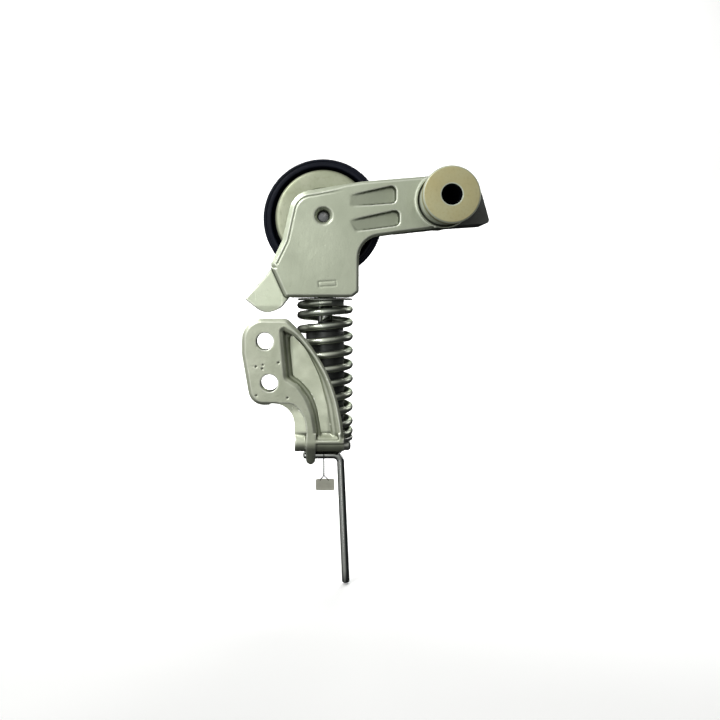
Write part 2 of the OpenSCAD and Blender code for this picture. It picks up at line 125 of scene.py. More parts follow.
def make_lights():
    """Soft lights around the part, a bright backdrop light and the studio's world."""
    centre = (cad_low + cad_high) / 2
    area_light("key", (-0.55, -0.55, 0.55), centre, 0.35, 4.2)
    area_light("front", (-0.25, -0.9, 0.1), centre, 0.5, 0.5)
    area_light("strip", (-0.32, -0.85, -0.05), centre, 0.05, 0.55, 0.9)
    area_light("rear", (0.25, 0.95, 0.35), centre, 0.6, 4.0)
    area_light("right", (0.8, 0.45, 0.25), centre, 0.5, 1.6)
    area_light("backdrop", (0.0, 0.55, 0.75), (0.0, 1.7, -0.1), 1.2, 26)
    # a studio that is bright up, to the left and in front, and dark down and to the right
    world = bpy.data.worlds.new("studio")
    world.use_nodes = True
    nodes, links = world.node_tree.nodes, world.node_tree.links
    place = nodes.new("ShaderNodeTexCoord")
    side = nodes.new("ShaderNodeVectorMath")
    side.operation = "DOT_PRODUCT"
    side.inputs[1].default_value = Vector((-0.52, -0.60, 0.61))
    links.new(place.outputs["Generated"], side.inputs[0])
    ramp = nodes.new("ShaderNodeValToRGB")
    stops = ramp.color_ramp.elements
    stops[0].position, stops[0].color = 0.48, (0.03, 0.032, 0.033, 1)
    stops[1].position, stops[1].color = 0.95, (1.0, 1.0, 0.98, 1)
    middle_stop = stops.new(0.76)
    middle_stop.color = (0.60, 0.61, 0.58, 1)
    height = nodes.new("ShaderNodeMapRange")
    height.inputs["From Min"].default_value = -1
    links.new(side.outputs["Value"], height.inputs["Value"])
    links.new(height.outputs[0], ramp.inputs[0])
    links.new(ramp.outputs[0], nodes["Background"].inputs["Color"])
    nodes["Background"].inputs["Strength"].default_value = 0.85
    # seen directly, the studio's far walls are as pale as the stage
    walls = nodes.new("ShaderNodeBackground")
    walls.inputs["Color"].default_value = (0.86, 0.86, 0.86, 1)
    seen = nodes.new("ShaderNodeMixShader")
    links.new(nodes.new("ShaderNodeLightPath").outputs["Is Camera Ray"], seen.inputs[0])
    links.new(nodes["Background"].outputs[0], seen.inputs[1])
    links.new(walls.outputs[0], seen.inputs[2])
    links.new(seen.outputs[0], nodes["World Output"].inputs["Surface"])
    bpy.context.scene.world = world
    bpy.context.scene.view_settings.view_transform = "Standard"


def make_stage():
    """A pale floor that curves up into a backdrop."""
    gap_under_part = 0.0006
    floor_z = cad_low.z - gap_under_part
    depth, curve, height, half_width = 1.1, 0.5, 2.2, 4.0
    near_edge, steps = -0.7, 12
    line = [(near_edge, floor_z), (depth, floor_z)]
    for step in range(1, steps + 1):
        angle = math.radians(90 * step / steps)
        line.append((depth + curve * math.sin(angle), floor_z + curve * (1 - math.cos(angle))))
    line.append((depth + curve, floor_z + height))
    vertices = [(side * half_width, y, z) for y, z in line for side in (-1, 1)]
    faces = [(2 * i, 2 * i + 1, 2 * i + 3, 2 * i + 2) for i in range(len(line) - 1)]
    mesh = bpy.data.meshes.new("stage")
    mesh.from_pydata(vertices, [], faces)
    mesh.shade_smooth()
    stage = bpy.data.objects.new("stage", mesh)
    bpy.context.scene.collection.objects.link(stage)
    material = bpy.data.materials.new("stage_paper")
    material.use_nodes = True
    nodes, links = material.node_tree.nodes, material.node_tree.links
    shader = nodes["Principled BSDF"]
    shader.inputs["Roughness"].default_value = 0.9
    shader.inputs["Specular IOR Level"].default_value = 0.1
    paper = nodes.new("ShaderNodeTexNoise")
    paper.inputs["Scale"].default_value = 40
    shade = nodes.new("ShaderNodeValToRGB")
    shade.color_ramp.elements[0].color = (0.93, 0.93, 0.93, 1)
    shade.color_ramp.elements[1].color = (0.95, 0.95, 0.95, 1)
    links.new(paper.outputs["Fac"], shade.inputs[0])
    links.new(shade.outputs[0], shader.inputs["Base Color"])
    mesh.materials.append(material)
    # the part is lit by the studio alone, so its undersides stay dark
    stage.visible_diffuse = False
    stage.visible_glossy = False


# ---- materials ----

# where a colour starts and is strongest, and how strong; pointiness is 0.5 on even ground, more on
# edges and less in hollows, and facing is the size of the normal's part along the row's Y
# the worn row turns raised edges pale, partly edge wear and partly a painted highlight
WORN_AND_HIGHLIGHT_POINTINESS = (0.504, 0.54, 0, 0.7)
# the grime row paints shade into the hollows
HOLLOW_SHADE_POINTINESS = (0.496, 0.462, 0, 0.85)
# the sides row paints shade on walls that face across the part's Y
SIDE_SHADE_FACING = (0.6, 0.2, 0, 0.6)
PITS_PER_METRE = 260
LATHE_MARK_MM = 0.006


def surface(name, base, metallic, roughness, second=None, mottle=70, grain=900, grain_mm=0.02,
            spread=0.08, pits_mm=0.0, turned=None, worn_and_highlight=None, stretch=None, hollow_shade=None, sides=None,
            rim=(1, 1, 1), specular=0.5):
    """A procedural finish.

    second is the colour that mottles base, grain the scale of the fine bump, spread how far the roughness
    varies and stretch the scale of the grain along each axis. turned (axis letter, centre, pitch) adds
    lathe marks. worn is the pale colour of raised edges, partly edge wear and partly a painted highlight.
    grime is the colour of hollows, a painted shade. sides is the colour of the side walls of a casting,
    a painted shade. rim is the tint of what is seen at a glancing angle.
    """
    material = bpy.data.materials.new(name)
    material.use_nodes = True
    nodes, links = material.node_tree.nodes, material.node_tree.links
    shader = nodes["Principled BSDF"]
    shader.inputs["Metallic"].default_value = metallic
    shader.inputs["Specular Tint"].default_value = (*rim, 1)
    shader.inputs["Specular IOR Level"].default_value = specular
    place = nodes.new("ShaderNodeTexCoord").outputs["Object"]
    if stretch:
        mapping = nodes.new("ShaderNodeMapping")
        mapping.inputs["Scale"].default_value = stretch
        links.new(place, mapping.inputs["Vector"])
        place_grain = mapping.outputs[0]
    else:
        place_grain = place

    def noise(scale, detail, where):
        node = nodes.new("ShaderNodeTexNoise")
        node.inputs["Scale"].default_value = scale
        node.inputs["Detail"].default_value = detail
        links.new(where, node.inputs["Vector"])
        return node.outputs["Fac"]

    def remap(value, low, high, to_low, to_high):
        node = nodes.new("ShaderNodeMapRange")
        for key, number in zip(("From Min", "From Max", "To Min", "To Max"), (low, high, to_low, to_high)):
            node.inputs[key].default_value = number
        links.new(value, node.inputs["Value"])
        return node.outputs[0]

    def blend_colour(factor, first, other):
        node = nodes.new("ShaderNodeMix")
        node.data_type = "RGBA"
        links.new(factor, node.inputs["Factor"])
        for socket, colour in ((node.inputs[6], first), (node.inputs[7], other)):
            if isinstance(colour, bpy.types.NodeSocket):
                links.new(colour, socket)
            else:
                socket.default_value = (*colour, 1)
        return node.outputs[2]

    def distance_from(axis, centre):
        offset = nodes.new("ShaderNodeVectorMath")
        offset.operation = "SUBTRACT"
        offset.inputs[1].default_value = Vector(centre) * MM
        links.new(place, offset.inputs[0])
        flat = nodes.new("ShaderNodeVectorMath")
        flat.operation = "MULTIPLY"
        flat.inputs[1].default_value = {"X": (0, 1, 1), "Y": (1, 0, 1), "Z": (1, 1, 0)}[axis]
        links.new(offset.outputs[0], flat.inputs[0])
        length = nodes.new("ShaderNodeVectorMath")
        length.operation = "LENGTH"
        links.new(flat.outputs[0], length.inputs[0])
        return length.outputs["Value"]

    second = second or tuple(0.8 * c for c in base)
    colour = blend_colour(remap(noise(mottle, 4, place), 0.35, 0.68, 0, 1), base, second)
    speck = tuple(0.82 * c for c in base)
    colour = blend_colour(remap(noise(grain, 2, place_grain), 0.52, 0.8, 0, 0.55), colour, speck)
    # raised edges turn pale: partly edge wear, partly a painted highlight
    if worn_and_highlight:
        edge = nodes.new("ShaderNodeNewGeometry").outputs["Pointiness"]
        colour = blend_colour(remap(edge, *WORN_AND_HIGHLIGHT_POINTINESS), colour, worn_and_highlight)
    # hollows are darkened: a painted shade
    if hollow_shade:
        hollow = nodes.new("ShaderNodeNewGeometry").outputs["Pointiness"]
        colour = blend_colour(remap(hollow, *HOLLOW_SHADE_POINTINESS), colour, hollow_shade)
    # walls whose normal lies across the part's Y are painted darker: a painted shade
    if sides:
        split = nodes.new("ShaderNodeSeparateXYZ")
        links.new(nodes.new("ShaderNodeTexCoord").outputs["Normal"], split.inputs[0])
        facing = nodes.new("ShaderNodeMath")
        facing.operation = "ABSOLUTE"
        links.new(split.outputs["Y"], facing.inputs[0])
        colour = blend_colour(remap(facing.outputs[0], *SIDE_SHADE_FACING), colour, sides)
    links.new(colour, shader.inputs["Base Color"])
    links.new(remap(noise(3.1 * mottle, 3, place_grain), 0.3, 0.7, roughness - spread, roughness + spread),
              shader.inputs["Roughness"])

    def bump(height, distance_mm, under):
        node = nodes.new("ShaderNodeBump")
        node.inputs["Distance"].default_value = distance_mm * MM
        node.inputs["Strength"].default_value = 1.0
        links.new(height, node.inputs["Height"])
        if under is not None:
            links.new(under, node.inputs["Normal"])
        return node.outputs[0]

    normal = None
    if grain_mm:
        normal = bump(noise(grain, 5, place_grain), grain_mm, normal)
        normal = bump(noise(grain * 0.22, 3, place_grain), grain_mm * 2.2, normal)
    if pits_mm:
        cells = nodes.new("ShaderNodeTexVoronoi")
        cells.inputs["Scale"].default_value = PITS_PER_METRE
        cells.inputs["Randomness"].default_value = 1
        links.new(place, cells.inputs["Vector"])
        normal = bump(remap(cells.outputs["Distance"], 0.05, 0.22, 0, 1), pits_mm, normal)
    if turned:
        axis, centre, pitch = turned
        wave = nodes.new("ShaderNodeMath")
        wave.operation = "SINE"
        turns = nodes.new("ShaderNodeMath")
        turns.operation = "MULTIPLY"
        turns.inputs[1].default_value = 2 * math.pi / (pitch * MM)
        links.new(distance_from(axis, centre), turns.inputs[0])
        links.new(turns.outputs[0], wave.inputs[0])
        normal = bump(wave.outputs[0], LATHE_MARK_MM, normal)
    if normal is not None:
        links.new(normal, shader.inputs["Normal"])
    return material


# in the finishes below, grime paints shade into hollows, sides paints shade on side walls, and worn turns
# raised edges pale, partly as wear and partly as a painted highlight
CAST = surface("cast_aluminium", (0.53, 0.57, 0.45), 0.85, 0.40, second=(0.44, 0.48, 0.37), mottle=28,
               grain=1100, grain_mm=0.03, pits_mm=0.02, worn_and_highlight=(0.95, 0.97, 0.88),
               hollow_shade=(0.06, 0.07, 0.045), sides=(0.30, 0.32, 0.26), rim=(0.12, 0.13, 0.10), specular=0.2)
CAST_BRACKET = surface("cast_aluminium_bracket", (0.57, 0.60, 0.48), 0.85, 0.40,
                       second=(0.44, 0.475, 0.36), mottle=60, grain=900, grain_mm=0.04, pits_mm=0.03,
                       worn_and_highlight=(0.95, 0.97, 0.88), hollow_shade=(0.05, 0.055, 0.035), sides=(0.28, 0.30, 0.24),
                       rim=(0.12, 0.13, 0.10), specular=0.2)
GOLD = surface("yellow_zinc", (0.50, 0.45, 0.24), 0.5, 0.42, second=(0.52, 0.50, 0.30), mottle=60,
               grain=700, grain_mm=0.0, turned=("Y", (0, 0, 0), 0.45), rim=(0.45, 0.42, 0.25),
               specular=0.3)
BARE = surface("bush_bare_edges", (0.60, 0.64, 0.52), 0.25, 0.42, second=(0.50, 0.54, 0.42), mottle=60,
               grain=700, grain_mm=0.0, turned=("Y", (0, 0, 0), 0.45), specular=0.4)
# near-black finish for the bush's bore: a painted shade
BORE_SHADE = surface("bore_shadow", (0.006, 0.006, 0.009), 0.0, 0.9, mottle=60, grain=700, grain_mm=0.0,
               specular=0.0)
SHIELD = surface("shield_steel", (0.34, 0.37, 0.25), 0.85, 0.38, second=(0.42, 0.445, 0.33), mottle=60,
                 grain=500, grain_mm=0.008, turned=("Y", (PULLEY.x, 0, PULLEY.z), 0.9),
                 rim=(0.2, 0.2, 0.2), specular=0.2)
TYRE = surface("pulley_black", (0.004, 0.005, 0.012), 0.0, 0.45, second=(0.006, 0.008, 0.016),
               mottle=160, grain=1300, grain_mm=0.012, turned=("Y", (PULLEY.x, 0, PULLEY.z), 0.7),
               specular=0.15)
ZINC = surface("zinc_plate", (0.56, 0.58, 0.56), 0.9, 0.34, second=(0.46, 0.48, 0.46), mottle=140,
               grain=800, grain_mm=0.008, rim=(0.3, 0.3, 0.3), specular=0.3)
SPRING = surface("spring_zinc", (0.56, 0.59, 0.49), 0.95, 0.30, second=(0.36, 0.39, 0.34), mottle=60,
                 grain=900, grain_mm=0.0, spread=0.03, hollow_shade=(0.07, 0.08, 0.065), rim=(0.08, 0.09, 0.08),
                 specular=0.1)
FOOT = surface("foot_zinc", (0.40, 0.42, 0.38), 0.9, 0.38, second=(0.32, 0.34, 0.31), mottle=130,
               grain=900, grain_mm=0.01, worn_and_highlight=(0.7, 0.7, 0.66), hollow_shade=(0.05, 0.055, 0.04),
               rim=(0.1, 0.1, 0.1), specular=0.2)
BEARING = surface("bearing_steel", (0.58, 0.58, 0.57), 1.0, 0.2, second=(0.5, 0.5, 0.5), mottle=200,
                  grain=600, grain_mm=0.003, turned=("Y", (PULLEY.x, 0, PULLEY.z), 0.35))
BOLT = surface("bolt_steel", (0.11, 0.115, 0.12), 0.9, 0.36, second=(0.07, 0.075, 0.08), mottle=200,
               grain=900, grain_mm=0.01, worn_and_highlight=(0.45, 0.45, 0.45), rim=(0.2, 0.2, 0.2), specular=0.2)
CHROME = surface("polished_rod", (0.46, 0.47, 0.455), 1.0, 0.08, second=(0.40, 0.41, 0.40), mottle=60,
                 grain=700, grain_mm=0.0, spread=0.03, stretch=(1, 1, 0.12), rim=(0.02, 0.02, 0.02))
WIRE = surface("hanger_steel", (0.035, 0.036, 0.034), 0.5, 0.45, second=(0.06, 0.06, 0.055), mottle=200,
               grain=900, grain_mm=0.0)
TUBE = surface("dark_tube", (0.05, 0.054, 0.052), 0.55, 0.36, second=(0.07, 0.075, 0.072), mottle=150,
               grain=800, grain_mm=0.008, stretch=(1, 1, 0.3), specular=0.3)
PLASTIC = surface("dark_plastic", (0.055, 0.058, 0.054), 0.0, 0.5, second=(0.075, 0.08, 0.075),
                  mottle=180, grain=1500, grain_mm=0.03, hollow_shade=(0.004, 0.004, 0.004), specular=0.3)
RUBBER = surface("seal_rubber", (0.02, 0.02, 0.02), 0.0, 0.55, second=(0.03, 0.03, 0.03), mottle=200,
                 grain=1200, grain_mm=0.015)
BRONZE = surface("bearing_bronze", (0.45, 0.30, 0.15), 0.9, 0.4, second=(0.36, 0.24, 0.13), mottle=150,
                 grain=900, grain_mm=0.01)
CARD = surface("tag_card", (0.42, 0.42, 0.35), 0.0, 0.6, second=(0.34, 0.34, 0.28), mottle=260,
               grain=1600, grain_mm=0.02)


# ---- mesh helpers ----

def new_piece(name, mesh, material, body, nodes=()):
    """Links a finished mesh as a piece that rides on a body and stands for CAD nodes."""
    piece = bpy.data.objects.new(name, mesh)
    bpy.context.scene.collection.objects.link(piece)
    mesh.materials.clear()
    mesh.materials.append(material)
    if nodes:
        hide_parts(*nodes)
    if body:
        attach(piece, body)
    return piece


def finished_mesh(name, bm, sharp_deg=50):
    """Turns a bmesh into a smooth-shaded mesh with sharp edges above an angle."""
    bmesh.ops.remove_doubles(bm, verts=bm.verts, dist=1e-7)
    bmesh.ops.recalc_face_normals(bm, faces=bm.faces)
    mesh = bpy.data.meshes.new(name)
    bm.to_mesh(mesh)
    bm.free()
    mesh.shade_smooth()
    mesh.set_sharp_from_angle(angle=math.radians(sharp_deg))
    return mesh


def soften(profile, radius, steps=3):
    """Rounds each corner of a closed (radius, height) outline."""
    out = []
    count = len(profile)
    for i in range(count):
        corner = Vector(profile[i])
        back = Vector(profile[i - 1]) - corner
        ahead = Vector(profile[(i + 1) % count]) - corner
        reach = min(radius, 0.45 * back.length, 0.45 * ahead.length)
        first = corner + back.normalized() * reach
        last = corner + ahead.normalized() * reach
        for k in range(steps + 1):
            s = k / steps
            out.append(first * (1 - s) ** 2 + corner * 2 * s * (1 - s) + last * s * s)
    return out


def lathe_into(bm, axis, centre, profile, rounding=0.25, segments=160):
    """Adds a turned solid: profile is (radius, height) with height along the axis in the row frame."""
    outline = soften(profile, rounding) if rounding else [Vector(p) for p in profile]
    rings = []
    for k in range(segments):
        angle = 2 * math.pi * k / segments
        c, s = math.cos(angle), math.sin(angle)
        ring = []
        for r, h in outline:
            if axis == "Y":
                point = (centre.x + r * c, h, centre.z + r * s)
            elif axis == "Z":
                point = (centre.x + r * c, centre.y + r * s, h)
            else:
                point = (h, centre.y + r * c, centre.z + r * s)
            ring.append(bm.verts.new(Vector(point) * MM))
        rings.append(ring)
    count = len(outline)
    for k in range(segments):
        one, two = rings[k], rings[(k + 1) % segments]
        for i in range(count):
            j = (i + 1) % count
            bm.faces.new((one[i], one[j], two[j], two[i]))


def lathe(name, axis, centre, profile, material, body, nodes=(), rounding=0.25, segments=160):
    """A turned piece from its (radius, height) profile."""
    bm = bmesh.new()
    lathe_into(bm, axis, centre, profile, rounding, segments)
    return new_piece(name, finished_mesh(name, bm), material, body, nodes)


def sweep_into(bm, points, radius, sides=24, round_ends=True):
    """Adds a round bar along a list of points, with domed ends."""
    points = [Vector(p) for p in points]
    radii = [radius] * len(points)
    if round_ends:
        start_dir = (points[0] - points[1]).normalized()
        end_dir = (points[-1] - points[-2]).normalized()
        dome = [math.radians(a) for a in (25, 50, 72, 88)]
        lead = [(points[0] + start_dir * radius * 0.45 * math.sin(a), radius * math.cos(a)) for a in dome]
        tail = [(points[-1] + end_dir * radius * 0.45 * math.sin(a), radius * math.cos(a)) for a in dome]
        points = [p for p, _ in reversed(lead)] + points + [p for p, _ in tail]
        radii = [r for _, r in reversed(lead)] + radii + [r for _, r in tail]
    tangents = [(points[min(i + 1, len(points) - 1)] - points[max(i - 1, 0)]).normalized()
                for i in range(len(points))]
    side = tangents[0].orthogonal().normalized()
    rings = []
    for point, tangent, r in zip(points, tangents, radii):
        side = (side - tangent * side.dot(tangent)).normalized()
        other = tangent.cross(side)
        rings.append([bm.verts.new((point + (side * math.cos(a) + other * math.sin(a)) * r) * MM)
                      for a in (2 * math.pi * k / sides for k in range(sides))])
    for one, two in zip(rings, rings[1:]):
        for k in range(sides):
            j = (k + 1) % sides
            bm.faces.new((one[k], one[j], two[j], two[k]))
    bm.faces.new(rings[0][::-1])
    bm.faces.new(rings[-1])


def evaluated(obj, name):
    """The object's mesh with its modifiers applied; the object itself is removed."""
    graph = bpy.context.evaluated_depsgraph_get()
    mesh = bpy.data.meshes.new_from_object(obj.evaluated_get(graph))
    mesh.name = name
    bpy.data.objects.remove(obj)
    return mesh


def cast_mesh(name, node, voxel_mm, smooth_steps=4):
    """A casting's skin: the CAD node with small fillets melted into its edges."""
    bm = bmesh.new()
    bm.from_mesh(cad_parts[node].data)
    bmesh.ops.remove_doubles(bm, verts=bm.verts, dist=1e-6)
    mesh = bpy.data.meshes.new(name)
    bm.to_mesh(mesh)
    bm.free()
    obj = bpy.data.objects.new(name + "_work", mesh)
    bpy.context.scene.collection.objects.link(obj)
    remesh = obj.modifiers.new("remesh", "REMESH")
    remesh.mode = "VOXEL"
    remesh.voxel_size = voxel_mm * MM
    smooth = obj.modifiers.new("smooth", "SMOOTH")
    smooth.factor = 0.5
    smooth.iterations = smooth_steps
    made = evaluated(obj, name)
    made.shade_smooth()
    return made


def shape_vertices(mesh, move):
    """Passes the mesh's points, in millimetres, and normals through move() and writes the points back."""
    count = len(mesh.vertices)
    points = np.empty(count * 3)
    normals = np.empty(count * 3)
    mesh.vertices.foreach_get("co", points)
    mesh.vertices.foreach_get("normal", normals)
    points = move(points.reshape(-1, 3) / MM, normals.reshape(-1, 3))
    mesh.vertices.foreach_set("co", (points * MM).ravel())
    mesh.update()


def near_line(x, z, points):
    """Distance from each (x, z) to a broken line."""
    best = np.full(len(x), 1e9)
    for (x0, z0), (x1, z1) in zip(points, points[1:]):
        dx, dz = x1 - x0, z1 - z0
        t = np.clip(((x - x0) * dx + (z - z0) * dz) / (dx * dx + dz * dz), 0, 1)
        best = np.minimum(best, np.hypot(x - x0 - t * dx, z - z0 - t * dz))
    return best


def fade(value, start, end):
    """0 before start, 1 after end, smooth between."""
    t = np.clip((value - start) / (end - start), 0, 1)
    return t * t * (3 - 2 * t)


def dress(node, material, slot, bevel_mm):
    """Gives a CAD node that stays its finish, and a small bevel on its edges."""
    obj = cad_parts[node]
    obj.data.materials.clear()
    obj.data.materials.append(material)
    if bevel_mm:
        weld = obj.modifiers.new("weld", "WELD")
        weld.merge_threshold = 1e-6
        bevel = obj.modifiers.new("bevel", "BEVEL")
        bevel.width = bevel_mm * MM
        bevel.segments = 3
        bevel.limit_method = "ANGLE"
        bevel.angle_limit = math.radians(35)


# ---- castings ----

def rounded_line(corners, step_deg=6):
    """Closed broken line through corners (x, z, radius), as the CAD rounds its outlines."""
    line = []
    for i, (x, z, r) in enumerate(corners):
        corner = Vector((x, z))
        back = (Vector(corners[i - 1][:2]) - corner).normalized()
        ahead = (Vector(corners[(i + 1) % len(corners)][:2]) - corner).normalized()
        half = back.angle(ahead) / 2
        if not r:
            line.append(corner)
            continue
        centre = corner + (back + ahead).normalized() * r / math.sin(half)
        first = corner + back * r / math.tan(half) - centre
        last = corner + ahead * r / math.tan(half) - centre
        steps = max(2, math.ceil(math.degrees(first.angle(last)) / step_deg))
        turn = -first.angle_signed(last) / steps
        for k in range(steps + 1):
            c, s = math.cos(turn * k), math.sin(turn * k)
            line.append(centre + Vector((first.x * c - first.y * s, first.x * s + first.y * c)))
    return [(p.x, p.y) for p in line + line[:1]]


def bevel_front(p, front, line, width, depth):
    """Slopes the front face back along a line: width and depth are functions of (x, z)."""
    x, y, z = p[:, 0], p[:, 1], p[:, 2]
    near = y < front + 2
    x, z = x[near], z[near]
    slope = front + depth(x, z) * (1 - near_line(x, z, line) / width(x, z))
    p[near, 1] = np.maximum(y[near], slope)


def inside_outline(x, z, line):
    """Which of the points (x, z) lie inside a closed line."""
    inside = np.zeros(len(x), bool)
    for (x0, z0), (x1, z1) in zip(line, line[1:]):
        crosses = (z0 > z) != (z1 > z)
        if z0 != z1:
            inside ^= crosses & (x < x0 + (x1 - x0) * (z - z0) / (z1 - z0))
    return inside


def make_arm():
    """Arm with bevelled edges, a groove inside its left bevel, a lip round the bush and a tilted fin."""
    mesh = cast_mesh("arm_casting", "tensioner_arm", 0.42)
    outline = rounded_line([
        (-6, 12.9, 0), (-43.6, 9.8, 14), (-80.1, 3.8, 12.5), (-85.6, -21, 10), (-92, -34, 2.5),
        (-84.2, -51.3, 2), (-48.6, -51.3, 1), (-45.2, -48.6, 1), (-45.2, -20.3, 12), (-6, -15, 0)])[:-1]
    groove_inside, groove_deep = 3.0, 0.4
    lip_radius, lip_half_width, lip_high = 15.0, 0.95, 0.3
    label = [(-66.6, -43.2), (-57.4, -42.6), (-57.2, -45.2), (-66.4, -45.8), (-66.6, -43.2)]
    label_deep = 0.16

    def left(x, z):
        """1 along the block's left side, 0 along the beam and the block's foot."""
        return np.interp(x, (-66, -52), (1, 0)) * (z > -36)

    def level(y):
        """Which points are still on the front face."""
        return np.abs(y - ARM_FRONT) < 0.5

    def move(p, n):
        bevel_front(p, ARM_FRONT, outline,
                    lambda x, z: 1.3 + 1.3 * left(x, z), lambda x, z: 0.8 + 0.3 * left(x, z))
        x, y, z = p[:, 0], p[:, 1], p[:, 2]
        face = y < ARM_FRONT + 1
        from_groove = np.abs(near_line(x, z, outline) - groove_inside)
        p[:, 1] += face * groove_deep * left(x, z) * (z > -34) * (1 - fade(from_groove, 0.1, 0.7))
        lip = 1 - np.abs(np.hypot(x, z) - lip_radius) / lip_half_width
        p[:, 1] -= (face & level(y)) * lip_high * np.clip(lip, 0, 1)
        # the fin leans back to its tip
        fin = (y > ARM_FRONT + 1.7) & (y < ARM_FRONT + 11.5) & (z < -31)
        p[:, 1] += fin * (0.26 * np.clip(-86 - x, 0, 14) + 0.12 * np.clip(z + 56, 0, 20))
        # shallow label frame on the block
        front = fade(-n[:, 1], 0.5, 0.9) * level(y)
        p[:, 1] += front * label_deep * (1 - fade(near_line(x, z, label), 0.15, 0.55))
        return p

    shape_vertices(mesh, move)
    new_piece("arm_casting", mesh, CAST, "arm", ["tensioner_arm"])


def make_bracket():
    """Bracket with a bevelled rim, a hollow that slopes down in two soft steps, a turned leg and pits."""
    mesh = cast_mesh("bracket_casting", "mounting_bracket", 0.38)
    outline = rounded_line([
        (-79.2, -120, 0), (-79.2, -107.4, 11), (-102, -107.8, 8), (-106.6, -81, 10), (-106.6, -62.6, 11),
        (-83, -62.8, 3), (-77.2, -68.6, 20), (-70.2, -77.2, 50), (-62.2, -90.2, 50), (-57.2, -103.3, 50),
        (-54.2, -117.2, 50), (-53.4, -124, 0)])[:-1]
    ledge = rounded_line([
        (-85.8, -67.6, 1), (-76.6, -73.3, 20), (-68.4, -83.5, 40), (-62.5, -94.4, 40), (-58.5, -107.3, 40),
        (-56, -126, 0), (-67.9, -126, 0), (-67.9, -121.2, 20), (-69.4, -112.2, 20), (-72.4, -104.3, 20),
        (-77.3, -97.4, 10), (-83.4, -93.6, 2)])
    web = rounded_line([
        (-81.4, -70.2, 1), (-73.4, -78.5, 20), (-66.4, -92.4, 40), (-62.5, -107.3, 40), (-59.5, -126, 0),
        (-65.4, -126, 0), (-65.4, -121.2, 20), (-67.4, -109.3, 20), (-70.4, -101.3, 20), (-75.9, -95.4, 10),
        (-80, -92.6, 1.5), (-81.4, -78, 10)])
    leg = rounded_line([
        (-92, -107, 0), (-80.6, -106.6, 6), (-76.2, -110.3, 8), (-73.6, -115.4, 10), (-72.9, -123, 0),
        (-72.9, -130, 0), (-92, -130, 0)])
    shoulder_deep, shoulder_width = 0.7, 1.6
    ear_x, ear_half_width, ear_rise = -70.7, 2.5, 1.7
    # each pit is (x, z, depth)
    pits = ((-99.2, -87.6, 0.5), (-95.6, -86.7, 0.35), (-95.9, -88.7, 0.5), (-87.5, -85.6, 0.5),
            (-99.0, -102.6, 0.45), (-82.8, -103.8, 0.5))

    def move(p, n):
        bevel_front(p, BRACKET_FRONT, outline, lambda x, z: 1.7, lambda x, z: 1.0)
        x, y, z = p[:, 0], p[:, 1], p[:, 2]
        # the hollow's sides slope down from the plate and the rim, and run out above the barrel
        shallow = y < BRACKET_FRONT + 6.4
        weight = fade(z, -125.5, -121.5)
        in_web = shallow & inside_outline(x, z, ledge) & (weight > 0)
        to_ledge, to_web = near_line(x, z, ledge), near_line(x, z, web)
        t = np.where(inside_outline(x, z, web), 1, to_ledge / (to_ledge + to_web + 1e-6))
        steps = 0.4 * t + 0.25 * fade(t, 0, 0.35) + 0.35 * fade(t, 0.6, 1.0)
        deep = 5.2 - 0.16 * np.clip(x + 80, 0, 18)
        p[in_web, 1] = (y + weight * (BRACKET_FRONT + shoulder_deep + deep * steps - y))[in_web]
        shoulder = (y < BRACKET_FRONT + 1.2) & ~in_web & (z > -122.3)
        edge = BRACKET_FRONT + shoulder_deep * (1 - to_ledge / shoulder_width)
        p[shoulder, 1] = np.maximum(y, edge)[shoulder]
        # the leg turns up and to the left
        on_leg = shallow & inside_outline(x, z, leg) & (weight > 0)
        turned = 3.6 - 0.34 * (x + 77) + 0.22 * (z + 115)
        p[on_leg, 1] = (y + weight * (BRACKET_FRONT + np.clip(turned, 0.8, 5.8) - y))[on_leg]
        # the ear's lower end is rounded
        ear = (np.abs(x - ear_x) < 3) & (z < -133)
        p[ear, 2] += (ear_rise * ((x - ear_x) / ear_half_width) ** 2 * fade(-z, 133, 140))[ear]
        y = p[:, 1]
        front = fade(-n[:, 1], 0.5, 0.9) * (np.abs(y - BRACKET_FRONT) < 0.7)
        for pit_x, pit_z, depth in pits:
            p[:, 1] += front * depth * (1 - fade(np.hypot(x - pit_x, z - pit_z), 0.1, 0.75))
        return p

    shape_vertices(mesh, move)
    new_piece("bracket_casting", mesh, CAST_BRACKET, "bracket", ["mounting_bracket"])


def make_foot():
    """Cast foot of the strut, with its eye and its plate."""
    mesh = cast_mesh("foot_casting", "strut_foot", 0.35)
    new_piece("foot_casting", mesh, FOOT, "foot", ["strut_foot"])


# ---- turned pieces ----

# radius at which a solid profile stops short of its axis
AXIS = 0.01


